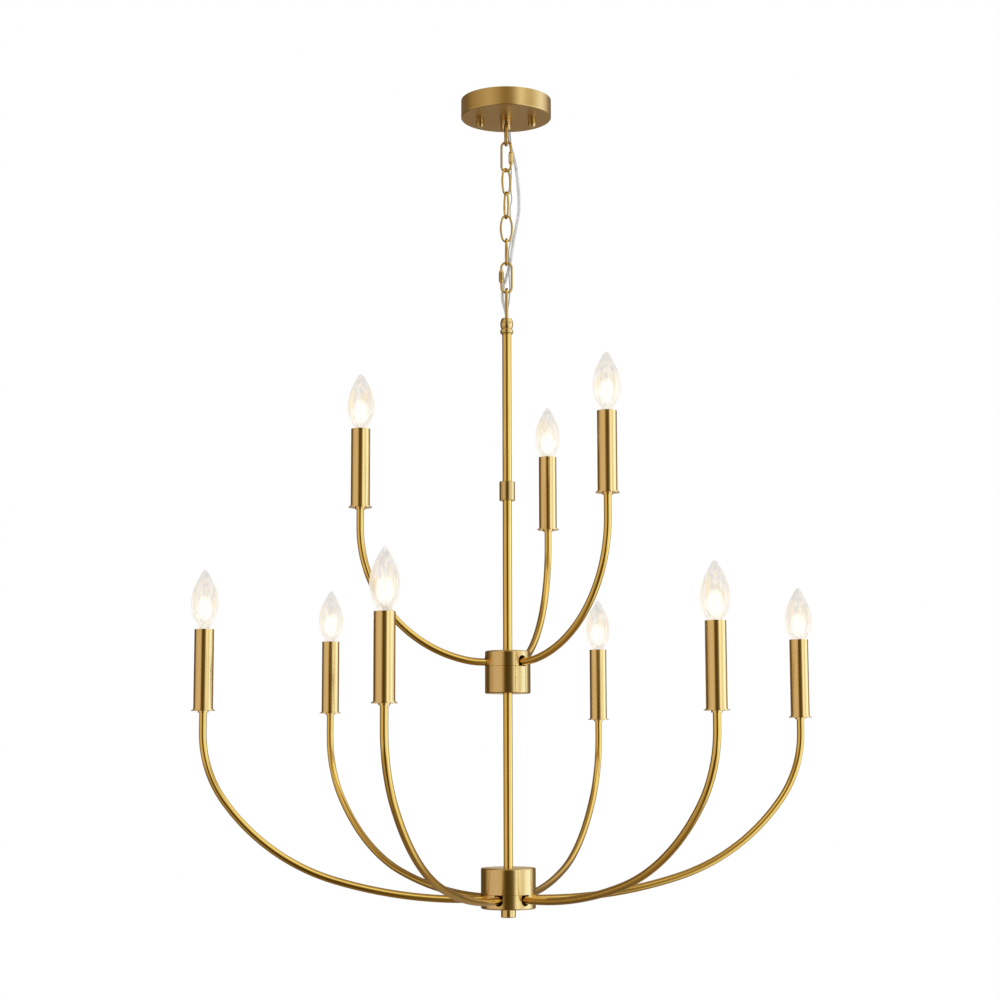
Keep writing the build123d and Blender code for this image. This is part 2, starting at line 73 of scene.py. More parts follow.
# ---------------------------------------------------------------- node helpers
class Net:
    """A small helper that builds one material's node tree."""

    def __init__(self, name):
        self.mat = bpy.data.materials.new(name)
        self.mat.use_nodes = True
        self.t = self.mat.node_tree
        self.t.nodes.clear()
        self.out = self.t.nodes.new("ShaderNodeOutputMaterial")
        self.b = self.t.nodes.new("ShaderNodeBsdfPrincipled")
        self.link(self.b.outputs[0], self.out.inputs["Surface"])
        self._co = None

    def link(self, a, b):
        self.t.links.new(a, b)

    def set(self, **kw):
        for k, v in kw.items():
            self.b.inputs[k.replace("_", " ")].default_value = v
        return self

    def co(self):
        if self._co is None:
            self._co = self.t.nodes.new("ShaderNodeTexCoord").outputs["Object"]
        return self._co

    def scaled(self, sx, sy, sz, loc=(0, 0, 0)):
        m = self.t.nodes.new("ShaderNodeMapping")
        m.inputs["Scale"].default_value = (sx, sy, sz)
        m.inputs["Location"].default_value = loc
        self.link(self.co(), m.inputs["Vector"])
        return m.outputs[0]

    def noise(self, vec, scale=1.0, detail=3.0, rough=0.5):
        n = self.t.nodes.new("ShaderNodeTexNoise")
        n.inputs["Scale"].default_value = scale
        n.inputs["Detail"].default_value = detail
        n.inputs["Roughness"].default_value = rough
        self.link(vec, n.inputs["Vector"])
        return n.outputs["Fac"]

    def ramp(self, fac, stops):
        r = self.t.nodes.new("ShaderNodeValToRGB")
        e = r.color_ramp.elements
        while len(e) > 1:
            e.remove(e[0])
        e[0].position, e[0].color = stops[0][0], (*stops[0][1], 1)
        for p, c in stops[1:]:
            k = e.new(p)
            k.color = (*c, 1)
        self.link(fac, r.inputs[0])
        return r.outputs["Color"]

    def range(self, fac, lo, hi, a=0.0, b=1.0):
        r = self.t.nodes.new("ShaderNodeMapRange")
        r.inputs["From Min"].default_value = a
        r.inputs["From Max"].default_value = b
        r.inputs["To Min"].default_value = lo
        r.inputs["To Max"].default_value = hi
        self.link(fac, r.inputs["Value"])
        return r.outputs[0]

    def math(self, op, a, b=None):
        m = self.t.nodes.new("ShaderNodeMath")
        m.operation = op
        for i, v in enumerate((a, b)):
            if v is None:
                continue
            if isinstance(v, (int, float)):
                m.inputs[i].default_value = v
            else:
                self.link(v, m.inputs[i])
        return m.outputs[0]

    def mix(self, fac, a, b, blend="MIX"):
        m = self.t.nodes.new("ShaderNodeMix")
        m.data_type = "RGBA"
        m.blend_type = blend
        if isinstance(fac, (int, float)):
            m.inputs[0].default_value = fac
        else:
            self.link(fac, m.inputs[0])
        for sock, v in ((m.inputs[6], a), (m.inputs[7], b)):
            if isinstance(v, tuple):
                sock.default_value = (*v, 1)
            else:
                self.link(v, sock)
        return m.outputs[2]

    def bump(self, height, strength, distance):
        n = self.t.nodes.new("ShaderNodeBump")
        n.inputs["Strength"].default_value = strength
        n.inputs["Distance"].default_value = distance
        self.link(height, n.inputs["Height"])
        self.link(n.outputs[0], self.b.inputs["Normal"])
        return n


BRASS = (0.80, 0.575, 0.262)


def brass(name, along=(60, 60, 3500), rough=(0.14, 0.19), tone=1.0, grain=0.012, tint=(1.0, 1.0, 1.0)):
    """Satin lacquered brass: very fine turned or drawn grain, faint cloudiness in colour and gloss, a few soft hairlines."""
    n = Net(name)
    base = tuple(c * t * tone for c, t in zip(BRASS, tint))
    cloud = n.noise(n.scaled(18, 18, 18), 1.0, 3.0, 0.55)
    grain_f = n.noise(n.scaled(*along), 1.0, 2.0, 0.6)
    hair = n.noise(n.scaled(along[0] * 9, along[1] * 9, along[2] * 0.13, (3.1, 1.7, 0.4)), 1.0, 2.0, 0.5)
    col = n.ramp(cloud, [(0.30, tuple(c * 0.975 for c in base)), (0.52, base), (0.74, (base[0] * 1.01, base[1] * 1.02, base[2] * 1.05))])
    col = n.mix(n.range(grain_f, 0.0, 0.16, 0.35, 0.75), col, tuple(c * 0.93 for c in base))
    n.link(col, n.b.inputs["Base Color"])
    r = n.math("ADD", n.range(cloud, rough[0], rough[1], 0.3, 0.7), n.range(hair, -0.01, 0.02, 0.35, 0.75))
    n.link(r, n.b.inputs["Roughness"])
    n.set(Metallic=1.0)
    n.bump(n.math("ADD", grain_f, n.math("MULTIPLY", hair, 0.6)), grain, 0.0002)
    return n.mat


m_tube = brass("brass_drawn_tube", (900, 900, 60), (0.10, 0.14), 1.0, 0.004, (0.99, 0.93, 0.60))
m_sleeve = brass("brass_sleeve", (90, 90, 2600), (0.12, 0.16), 1.0, 0.004)
m_turned = brass("brass_turned", (120, 120, 3200), (0.13, 0.18), 0.86, 0.005)
m_hub = brass("brass_hub", (70, 70, 2400), (0.10, 0.14), 0.88, 0.004)
m_canopy = brass("brass_canopy", (55, 55, 1500), (0.18, 0.24), 0.95, 0.005)
# the canopy's floor: rougher brass, and painted a little darker than the side as painted shade
m_canopy_floor_shaded = brass("brass_canopy_floor_shaded", (55, 55, 1500), (0.36, 0.44), 0.90, 0.005)
m_wire = brass("brass_chain_wire", (700, 700, 700), (0.13, 0.19), 0.92, 0.012, (0.98, 0.94, 0.62))
m_head = brass("brass_cast_head", (400, 400, 900), (0.16, 0.22), 0.95, 0.015)


def knurled(name):
    """Turned brass with fine knurling in rings round its axis."""
    n = Net(name)
    cloud = n.noise(n.scaled(60, 60, 60), 1.0, 3.0, 0.5)
    n.link(n.ramp(cloud, [(0.3, (0.72, 0.50, 0.21)), (0.7, BRASS)]), n.b.inputs["Base Color"])
    n.link(n.range(cloud, 0.2, 0.3, 0.3, 0.7), n.b.inputs["Roughness"])
    n.set(Metallic=1.0)
    w = n.t.nodes.new("ShaderNodeTexWave")
    w.wave_type, w.bands_direction = "BANDS", "Z"
    w.inputs["Scale"].default_value = 420.0
    w.inputs["Distortion"].default_value = 0.4
    n.link(n.co(), w.inputs["Vector"])
    n.bump(w.outputs["Fac"], 0.25, 0.0002)
    return n.mat


m_nut = knurled("brass_knurled")


def steel(name):
    n = Net(name)
    g = n.noise(n.scaled(40, 1800, 1800), 1.0, 3.0, 0.55)
    spangle = n.t.nodes.new("ShaderNodeTexVoronoi")
    spangle.inputs["Scale"].default_value = 160.0
    n.link(n.co(), spangle.inputs["Vector"])
    col = n.mix(n.range(spangle.outputs["Distance"], 0.0, 0.35, 0.0, 0.6), (0.58, 0.59, 0.61), (0.47, 0.49, 0.52))
    n.link(col, n.b.inputs["Base Color"])
    n.link(n.range(g, 0.26, 0.40, 0.3, 0.7), n.b.inputs["Roughness"])
    n.set(Metallic=1.0)
    n.bump(g, 0.08, 0.0002)
    return n.mat


m_steel = steel("zinc_plated_steel")


def moulded(name, colour, rough=0.45):
    n = Net(name)
    f = n.noise(n.scaled(900, 900, 900), 1.0, 3.0, 0.6)
    c = n.noise(n.scaled(70, 70, 70), 1.0, 2.0, 0.5)
    n.link(n.mix(n.range(c, 0.0, 0.5, 0.3, 0.7), colour, tuple(v * 0.9 for v in colour)), n.b.inputs["Base Color"])
    n.link(n.range(f, rough - 0.06, rough + 0.08, 0.3, 0.7), n.b.inputs["Roughness"])
    n.bump(f, 0.12, 0.0002)
    return n.mat


m_socket = moulded("lamp_holder_phenolic", (0.78, 0.76, 0.70), 0.5)
m_bushing = moulded("bushing_black", (0.02, 0.02, 0.022), 0.4)


def clear(name, tint, centre, edge, rough, sheen=None):
    """Clear glass or clear jacket: nearly invisible face on, greyer and glossier towards its edges."""
    n = Net(name)
    lw = n.t.nodes.new("ShaderNodeLayerWeight")
    lw.inputs["Blend"].default_value = 0.35
    cloud = n.noise(n.scaled(50, 50, 50), 1.0, 2.0, 0.5)
    f = n.math("POWER", lw.outputs["Facing"], 1.6)
    a = n.math("ADD", n.range(f, centre, edge), n.range(cloud, -0.01, 0.015, 0.3, 0.7))
    n.link(a, n.b.inputs["Alpha"])
    n.link(n.mix(n.range(cloud, 0.0, 1.0, 0.35, 0.7), tint, tuple(v * 0.96 for v in tint)), n.b.inputs["Base Color"])
    n.set(Roughness=rough, IOR=1.5)
    n.mat.blend_method = "BLEND"
    return n


def tinned():
    n = Net("tinned_strands")
    g = n.noise(n.scaled(2400, 2400, 300), 1.0, 2.0, 0.6)
    n.link(n.ramp(g, [(0.35, (0.60, 0.595, 0.59)), (0.65, (0.78, 0.775, 0.77))]), n.b.inputs["Base Color"])
    n.link(n.range(g, 0.25, 0.42, 0.3, 0.7), n.b.inputs["Roughness"])
    n.set(Metallic=0.35)
    n.bump(g, 0.3, 0.0002)
    return n.mat


m_jacket = clear("clear_pvc_jacket", (0.84, 0.84, 0.85), 0.46, 0.82, 0.18).mat
m_strand = tinned()
m_ground_core = moulded("ground_wire_grey", (0.40, 0.40, 0.40), 0.3)


# ---------------------------------------------------------------- mesh helpers
def new_object(name, bm, mats, smooth=True):
    me = bpy.data.meshes.new(name)
    bm.normal_update()
    bm.to_mesh(me)
    bm.free()
    if smooth:
        me.polygons.foreach_set("use_smooth", [True] * len(me.polygons))
    for m in mats:
        me.materials.append(m)
    me.update()
    o = bpy.data.objects.new(name, me)
    coll.objects.link(o)
    return o


def revolve(bm, profile, seg=48, mat=0, at=(0, 0, 0), closed=False):
    """Turns (radius, z) points about a vertical axis through at."""
    rings = []
    for r, z in profile:
        if r < 1e-6:
            rings.append([bm.verts.new((at[0], at[1], at[2] + z))])
        else:
            rings.append([bm.verts.new((at[0] + r * math.cos(2 * math.pi * k / seg), at[1] + r * math.sin(2 * math.pi * k / seg), at[2] + z)) for k in range(seg)])
    pairs = list(zip(rings, rings[1:]))
    if closed:
        pairs.append((rings[-1], rings[0]))
    for a, b in pairs:
        for k in range(seg):
            k2 = (k + 1) % seg
            if len(a) == 1 and len(b) == 1:
                continue
            if len(a) == 1:
                f = bm.faces.new((a[0], b[k2], b[k]))
            elif len(b) == 1:
                f = bm.faces.new((a[k], a[k2], b[0]))
            else:
                f = bm.faces.new((a[k], a[k2], b[k2], b[k]))
            f.material_index = mat


def tube_along(bm, path, radius, seg=16, mat=0, cap=True, start=Vector((1, 0, 0))):
    """A round tube round a list of points. radius may be a function of the point's index."""
    n = len(path)
    up = start
    rings = []
    for i, p in enumerate(path):
        t = (path[min(i + 1, n - 1)] - path[max(i - 1, 0)]).normalized()
        u = (up - t * up.dot(t)).normalized()
        v = t.cross(u)
        up = u
        r = radius(i) if callable(radius) else radius
        rings.append([bm.verts.new(p + u * (r * math.cos(2 * math.pi * k / seg)) + v * (r * math.sin(2 * math.pi * k / seg))) for k in range(seg)])
    for a, b in zip(rings, rings[1:]):
        for k in range(seg):
            f = bm.faces.new((a[k], a[(k + 1) % seg], b[(k + 1) % seg], b[k]))
            f.material_index = mat
    if cap:
        f = bm.faces.new(list(reversed(rings[0])))
        f.material_index = mat
        f = bm.faces.new(rings[-1])
        f.material_index = mat


def smooth_profile(points, per=4):
    """Catmull-Rom through (r, z) points."""
    p = [Vector((a, b)) for a, b in points]
    p = [p[0] * 2 - p[1]] + p + [p[-1] * 2 - p[-2]]
    out = []
    for i in range(1, len(p) - 2):
        for k in range(per):
            t = k / per
            a, b, c, d = p[i - 1], p[i], p[i + 1], p[i + 2]
            q = 0.5 * ((2 * b) + (c - a) * t + (2 * a - 5 * b + 4 * c - d) * t * t + (3 * b - a - 3 * c + d) * t * t * t)
            out.append((max(q.x, 0.0), q.y))
    out.append(points[-1])
    return out


# ---------------------------------------------------------------- cords: the routes' own points, in metres
POWER_ROUTE = [
    (1.7, 12.6, -26.1), (1.7, 12.6, -37.0), (3.6, 10.0, -52.0), (8.4, 6.8, -68.5),
    (12.6, 4.6, -87.0), (15.0, 3.2, -108.0), (16.8, 2.2, -131.0), (16.9, 1.8, -151.0),
    (13.4, 2.4, -171.0), (9.6, 3.8, -189.0), (7.0, 5.2, -206.0), (4.6, 5.9, -222.0),
    (0.6, 6.0, -238.0), (-4.7, 5.9, -253.0), (-6.1, 4.6, -267.0), (-3.6, 2.4, -280.0),
    (0.0, 0.9, -291.5), (0.0, 0.7, -300.6), (0.0, 0.7, -309.6),
]
GROUND_ROUTE = [
    (4.9, 14.6, -26.1), (4.9, 14.6, -40.0), (6.9, 12.2, -56.5), (7.6, 9.4, -74.5),
    (6.7, 8.5, -93.0), (6.3, 8.5, -108.0), (5.8, 6.9, -121.0), (7.8, 5.2, -134.0),
    (4.7, 4.8, -145.0), (5.3, 4.7, -156.0), (6.4, 4.4, -167.0), (7.8, 4.3, -179.0),
    (5.8, 4.1, -191.0), (3.0, 3.7, -203.0), (2.8, 3.2, -215.0), (2.8, 2.6, -229.0),
    (3.6, 2.8, -243.0), (4.4, 3.4, -256.0), (4.1, 2.5, -268.0), (2.2, 0.3, -280.0),
    (0.5, -2.3, -291.0), (0.0, -2.9, -298.5), (0.0, -2.9, -305.6),
]
# each cord is held by every link it passes, so it is made in lengths that meet end to end, one across each of the chain's joints
POWER_CUTS = [-58.5, -94.0, -124.2, -155.5, -185.8, -215.8, -245.8]
GROUND_CUTS = [-62.4, -97.2, -127.4, -159.0, -189.1, -220.2, -250.6]


def split_route(route, cuts):
    """The route's control points in lengths: each cut is a point on one of its runs, where the spline is tangent to the run."""
    parts, now = [], [Vector(route[0])]
    cuts = list(cuts)
    for a, b in zip(route, route[1:]):
        while cuts and a[2] > cuts[0] > b[2]:
            m = Vector(a).lerp(Vector(b), (cuts[0] - a[2]) / (b[2] - a[2]))
            now.append(m)
            parts.append(now)
            now = [m]
            cuts.pop(0)
        now.append(Vector(b))
    parts.append(now)
    return parts


def spline_points(points):
    """The points of the NURBS spline that has these control points, read from the curve itself."""
    cu = bpy.data.curves.new("route", "CURVE")
    cu.dimensions = "3D"
    cu.resolution_u = 12
    sp = cu.splines.new("NURBS")
    sp.points.add(len(points) - 1)
    for q, p in zip(sp.points, points):
        q.co = (p.x / 1000, p.y / 1000, p.z / 1000, 1.0)
    sp.order_u = 3
    sp.use_endpoint_u = True
    o = bpy.data.objects.new("route", cu)
    coll.objects.link(o)
    bpy.context.view_layer.update()
    me = bpy.data.meshes.new_from_object(o.evaluated_get(bpy.context.evaluated_depsgraph_get()))
    out = [v.co.copy() for v in me.vertices]
    bpy.data.objects.remove(o)
    bpy.data.curves.remove(cu)
    bpy.data.meshes.remove(me)
    if out[0].z < out[-1].z:
        out.reverse()
    return out


def make_cord(name, route, cuts, node, builder):
    phase = 0.0
    for k, pts in enumerate(split_route(route, cuts)):
        path = spline_points(pts)
        bm = bmesh.new()
        phase = builder(bm, path, phase)
        o = new_object(f"{name}_{k + 1}", bm, builder.mats)
        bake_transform(o)
        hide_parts(node)


def frames(path, start=Vector((1, 0, 0))):
    up, out = start, []
    n = len(path)
    for i, p in enumerate(path):
        t = (path[min(i + 1, n - 1)] - path[max(i - 1, 0)]).normalized()
        u = (up - t * up.dot(t)).normalized()
        out.append((u, t.cross(u)))
        up = u
    return out


def power_builder(bm, path, phase):
    tube_along(bm, path, 0.0022, 24, 0)
    fr = frames(path)
    run = [0.0]
    for a, b in zip(path, path[1:]):
        run.append(run[-1] + (b - a).length)
    # the two stranded conductors lie in the clear jacket and turn slowly round each other
    for s in (0.0, math.pi):
        core = []
        for p, (u, v), l in zip(path, fr, run):
            w = phase + s + l * 60.0
            core.append(p + u * (0.00085 * math.cos(w)) + v * (0.00085 * math.sin(w)))
        tube_along(bm, core, 0.00068, 12, 1)
    return phase + run[-1] * 60.0


power_builder.mats = [m_jacket, m_strand]


def ground_builder(bm, path, phase):
    tube_along(bm, path, 0.0007, 14, 0)
    return phase


ground_builder.mats = [m_ground_core]

make_cord("power_cord", POWER_ROUTE, POWER_CUTS, "power_cord", power_builder)
make_cord("ground_wire", GROUND_ROUTE, GROUND_CUTS, "ground_wire", ground_builder)


# ---------------------------------------------------------------- CAD nodes' materials
def paint(node, mat):
    o = nodes[node]
    o.data.materials.clear()
    o.data.materials.append(mat)


for n in nodes:
    if n.startswith("bulb_") or n in ("power_cord", "ground_wire"):
        continue
    if n in ("mounting_bracket", "canopy_studs", "canopy_head_nut"):
        paint(n, m_steel)
    elif n == "cord_bushing":
        paint(n, m_bushing)
    elif n == "lamp_sockets":
        paint(n, m_socket)
    elif n == "canopy":
        paint(n, m_canopy)
        # its floor is left duller than its polished side: rougher, and painted a little darker as painted shade on its
        # downward faces
        nodes[n].data.materials.append(m_canopy_floor_shaded)
        for face in nodes[n].data.polygons:
            if face.normal.z < -0.98:
                face.material_index = 1
    elif "sleeve" in n or n == "candle_cups":
        paint(n, m_sleeve)
    elif "hub" in n or n == "finial":
        paint(n, m_hub)
    elif "arm" in n or n.endswith("_rod"):
        paint(n, m_tube)
    elif n.endswith("link_nut"):
        paint(n, m_nut)
    elif "link" in n or n in ("top_ring", "hang_loop"):
        paint(n, m_wire)
    elif n in ("ball_head", "canopy_head"):
        paint(n, m_head)
    else:
        paint(n, m_turned)


# ---------------------------------------------------------------- bulbs
BULB_PROFILE = [
    (7.3, -5.5), (7.7, -2.0), (8.8, 1.5), (11.2, 5.5), (14.0, 10.5), (16.2, 16.5), (17.3, 23.0), (17.5, 28.0),
    (17.0, 35.0), (15.2, 43.5), (12.2, 51.5), (8.6, 59.0), (5.2, 65.0), (2.6, 69.2), (0.0, 71.0),
]


def glass_envelope():
    """Clear glass lit from inside: it veils what is behind it, brightest round the filaments, greyer and streaked with their warm ghosts towards the tip."""
    n = Net("bulb_glass_clear")
    gen = n.t.nodes.new("ShaderNodeTexCoord").outputs["Generated"]
    sp = n.t.nodes.new("ShaderNodeSeparateXYZ")
    n.link(gen, sp.inputs[0])
    z = sp.outputs["Z"]
    veil = n.ramp(z, [
        (0.00, (0.80, 0.73, 0.63)), (0.07, (0.86, 0.80, 0.71)), (0.20, (0.92, 0.85, 0.74)), (0.35, (0.95, 0.88, 0.77)), (0.48, (0.91, 0.83, 0.72)),
        (0.60, (0.82, 0.765, 0.685)), (0.74, (0.74, 0.70, 0.64)), (0.92, (0.70, 0.66, 0.61)), (1.0, (0.76, 0.72, 0.68)),
    ])
    streak = n.noise(n.scaled(300, 300, 13), 1.0, 2.0, 0.6)
    col = n.mix(n.range(streak, 0.0, 1.0, 0.40, 0.60), n.mix(1.0, veil, (0.82, 0.82, 0.83), "MULTIPLY"), n.mix(1.0, veil, (1.20, 1.20, 1.19), "MULTIPLY"))
    # the filaments' ghosts: gold streaks in the middle and upper glass, none at the tip or the foot
    ghost = n.noise(n.scaled(190, 190, 11, (0.31, 0.17, 0.23)), 1.0, 1.0, 0.5)
    zone = n.ramp(z, [(0.30, (0, 0, 0)), (0.42, (1, 1, 1)), (0.72, (0.8, 0.8, 0.8)), (0.90, (0.15, 0.15, 0.15)), (1.0, (0, 0, 0))])
    col = n.mix(n.math("MULTIPLY", n.range(ghost, 0.0, 0.85, 0.52, 0.64), zone), col, (1.0, 0.76, 0.42))
    # a thin, faintly peach rim
    lw = n.t.nodes.new("ShaderNodeLayerWeight")
    lw.inputs["Blend"].default_value = 0.5
    rim = n.math("POWER", lw.outputs["Facing"], 3.0)
    col = n.mix(n.range(rim, 0.0, 0.75), col, (0.78, 0.73, 0.68))
    n.link(col, n.b.inputs["Emission Color"])
    n.b.inputs["Emission Strength"].default_value = 1.0
    n.link(n.range(streak, 0.50, 0.58, 0.3, 0.7), n.b.inputs["Alpha"])
    n.b.inputs["Base Color"].default_value = (0.0, 0.0, 0.0, 1)
    n.set(Roughness=0.05, IOR=1.3)
    return n.mat


def glow(name, colour, alpha, strength):
    """A soft ball of light: densest where it is seen face on, fading out towards its edge."""
    n = Net(name)
    cloud = n.noise(n.scaled(60, 60, 60), 1.0, 2.0, 0.5)
    lw = n.t.nodes.new("ShaderNodeLayerWeight")
    lw.inputs["Blend"].default_value = 0.5
    soft = n.math("POWER", n.math("SUBTRACT", 1.0, lw.outputs["Facing"]), 1.4)
    n.link(n.math("MULTIPLY", soft, n.range(cloud, alpha * 0.9, alpha * 1.1, 0.3, 0.7)), n.b.inputs["Alpha"])
    n.set(Roughness=1.0)
    n.b.inputs["Base Color"].default_value = (0, 0, 0, 1)
    n.b.inputs["Specular IOR Level"].default_value = 0.0
    n.b.inputs["Emission Color"].default_value = (*colour, 1)
    n.b.inputs["Emission Strength"].default_value = strength
    return n.mat


m_glass = glass_envelope()
m_stem = clear("bulb_stem_glass", (0.80, 0.79, 0.80), 0.10, 0.55, 0.04).mat
m_halo1 = glow("bulb_glow_outer", (1.0, 0.90, 0.70), 0.36, 1.0)
m_halo2 = glow("bulb_glow_inner", (1.0, 0.985, 0.95), 0.90, 1.5)


def filament():
    """A glowing phosphor stick, a little uneven along its length."""
    n = Net("bulb_filament")
    f = n.noise(n.scaled(900, 900, 500), 1.0, 2.0, 0.5)
    n.link(n.mix(n.range(f, 0.0, 1.0, 0.35, 0.65), (1.0, 0.86, 0.60), (1.0, 0.92, 0.74)), n.b.inputs["Emission Color"])
    n.b.inputs["Emission Strength"].default_value = 6.0
    n.b.inputs["Base Color"].default_value = (0.9, 0.7, 0.3, 1)
    n.set(Roughness=0.6)
    return n.mat


m_filament = filament()


def shell_metal():
    n = Net("bulb_screw_shell")
    w = n.t.nodes.new("ShaderNodeTexWave")
    w.wave_type, w.bands_direction = "BANDS", "Z"
    w.inputs["Scale"].default_value = 100.0
    n.link(n.co(), w.inputs["Vector"])
    n.link(n.ramp(w.outputs["Fac"], [(0.2, (0.5, 0.5, 0.5)), (0.8, (0.75, 0.74, 0.72))]), n.b.inputs["Base Color"])
    n.set(Metallic=1.0, Roughness=0.25)
    n.bump(w.outputs["Fac"], 0.5, 0.0008)
    return n.mat


m_shell = shell_metal()


def ellipsoid(bm, rx, z0, z1, mat, at, seg=28, rings=14):
    c, h = (z0 + z1) / 2, (z1 - z0) / 2
    prof = [(rx * math.sin(math.pi * k / rings), c - h * math.cos(math.pi * k / rings)) for k in range(rings + 1)]
    revolve(bm, prof, seg, mat, at)


def make_bulb(i):
    lo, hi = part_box(f"bulb_{i}")
    x, y, top = (lo[0] + hi[0]) / 2, (lo[1] + hi[1]) / 2, hi[2] - 0.071
    at = (x, y, top)
    turn = 37.0 * i
    bm = bmesh.new()
    prof = [(r / 1000, z / 1000) for r, z in smooth_profile(BULB_PROFILE, 4)]
    revolve(bm, prof, 64, 0, at)
    env = new_object(f"bulb_envelope_{i}", bm, [m_glass])
    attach(env, f"bulb_{i}")
    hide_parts(f"bulb_{i}")
    # inside: the screw shell, the glass stem with its flare and pinch, lead wires, filaments
    bm = bmesh.new()
    shell = [(0.0, -27.0), (3.4, -27.0), (4.1, -25.0), (6.4, -23.7), (6.75, -22.6)]
    z = -22.0
    while z < -9.5:
        shell += [(6.45, z), (6.85, z + 0.9)]
        z += 1.8
    shell += [(6.85, -8.4), (7.2, -6.5), (7.3, -5.5), (6.9, -5.3)]
    revolve(bm, [(r / 1000, z / 1000) for r, z in shell], 40, 0, at)
    revolve(bm, [(r / 1000, z / 1000) for r, z in smooth_profile([(6.8, -6.0), (5.2, -1.0), (3.2, 3.5), (2.3, 7.0), (1.9, 11.0), (1.5, 14.0), (0.9, 16.5), (0.0, 17.2)], 4)], 32, 1, at)
    rot = Matrix.Rotation(math.radians(turn), 4, "Z")

    def put(px, py, pz):
        v = rot @ Vector((px / 1000, py / 1000, pz / 1000))
        return Vector((x + v.x, y + v.y, top + v.z))

    for k in range(4):
        a = math.pi / 2 * k + math.pi / 4
        c, s = math.cos(a), math.sin(a)
        # lead wire from the pinch out to the foot of the filament, the filament itself, and the wire from its head to the middle
        tube_along(bm, [put(0.7 * c, 0.7 * s, 15.5), put(2.2 * c, 2.2 * s, 15.2), put(3.9 * c, 3.9 * s, 13.8), put(4.7 * c, 4.7 * s, 12.6)], 0.00022, 6, 2)
        tube_along(bm, [put(4.7 * c, 4.7 * s, 12.0), put(5.0 * c, 5.0 * s, 19.0), put(4.7 * c, 4.7 * s, 26.0), put(4.1 * c, 4.1 * s, 31.5)], 0.00075, 10, 3)
        tube_along(bm, [put(4.1 * c, 4.1 * s, 31.3), put(2.4 * c, 2.4 * s, 32.8), put(0.2 * c, 0.2 * s, 33.2)], 0.00022, 6, 2)
    tube_along(bm, [put(0, 0, 16.8), put(0.2, 0.1, 24.0), put(0, 0, 31.0), put(0, 0, 34.0)], 0.00035, 8, 2)
    inner = new_object(f"bulb_works_{i}", bm, [m_shell, m_stem, m_strand, m_filament])
    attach(inner, f"bulb_{i}")
    bm = bmesh.new()
    for r, z0, z1, m in ((13.5, 2.0, 43.0, 0), (10.5, 5.5, 37.5, 1)):
        ellipsoid(bm, r / 1000, z0 / 1000, z1 / 1000, m, at)
    halo = new_object(f"bulb_glow_{i}", bm, [m_halo1, m_halo2])
    halo.visible_shadow = False
    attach(halo, f"bulb_{i}")


for i in range(1, 10):
    make_bulb(i)


# ---------------------------------------------------------------- studio: a pale floor and soft light all round
def floor():
    bm = bmesh.new()
    bmesh.ops.create_circle(bm, cap_ends=True, segments=96, radius=9.0)
    bmesh.ops.translate(bm, verts=bm.verts, vec=(0, 0, -2.45))
    n = Net("studio_floor")
    f = n.noise(n.scaled(2, 2, 2), 1.0, 2.0, 0.5)
    n.link(n.mix(n.range(f, 0.0, 1.0, 0.3, 0.7), (0.90, 0.90, 0.89), (0.87, 0.87, 0.87)), n.b.inputs["Base Color"])
    n.set(Roughness=0.8)
    n.b.inputs["Emission Color"].default_value = (1, 1, 1, 1)
    n.b.inputs["Emission Strength"].default_value = 0.25
    o = new_object("studio_floor", bm, [n.mat], smooth=False)
    o.visible_glossy = False
    o.visible_camera = False


floor()


def srgb(c):
    return tuple((v / 255 / 12.92) if v / 255 <= 0.04045 else ((v / 255 + 0.055) / 1.055) ** 2.4 for v in c)


# what the brass shows of the studio, by azimuth: 0 is the viewer's side (-Y), positive towards +X
AROUND = [
    (-180, (176, 140, 84)), (-167, (108, 80, 42)), (-150, (84, 60, 24)), (-112, (96, 68, 30)), (-104, (150, 116, 62)), (-92, (196, 158, 96)),
    (-75, (206, 168, 106)), (-50, (210, 172, 110)), (-30, (206, 166, 104)), (-21, (150, 112, 54)), (-14, (84, 60, 20)),
    (0, (78, 55, 14)), (14, (98, 74, 32)), (22, (132, 104, 56)), (28, (210, 180, 114)), (34, (260, 236, 166)),
    (46, (260, 234, 162)), (56, (236, 208, 142)), (66, (232, 204, 140)), (76, (258, 238, 172)), (88, (264, 252, 196)),
    (104, (264, 252, 196)), (112, (244, 214, 148)), (122, (176, 140, 88)), (134, (120, 92, 52)), (167, (104, 78, 42)), (180, (176, 140, 84)),
]
# the same, 18 degrees and more above the horizon, where the studio is softer
ABOVE = [
    (-180, (104, 78, 44)), (-120, (112, 84, 46)), (-97, (146, 109, 51)), (-70, (158, 121, 62)), (-45, (174, 138, 75)),
    (-20, (162, 126, 66)), (0, (138, 102, 46)), (15, (146, 110, 54)), (28, (200, 166, 100)), (40, (222, 188, 122)),
    (52, (190, 154, 90)), (68, (182, 144, 80)), (85, (216, 182, 118)), (100, (240, 212, 156)), (120, (210, 178, 122)),
    (135, (150, 118, 72)), (160, (104, 78, 44)), (180, (104, 78, 44)),
]
# 25 degrees and more above it: two tall lights left and right of the viewer, and a dimmer gap between them
HIGH = [
    (-180, (110, 84, 48)), (-120, (98, 72, 36)), (-90, (120, 90, 44)), (-62, (200, 162, 94)), (-35, (246, 208, 134)),
    (-18, (208, 168, 94)), (-6, (160, 124, 60)), (5, (166, 130, 66)), (12, (228, 190, 110)), (32, (254, 224, 146)),
    (80, (256, 230, 156)), (115, (244, 212, 140)), (145, (200, 164, 104)), (165, (130, 100, 58)), (180, (110, 84, 48)),
]
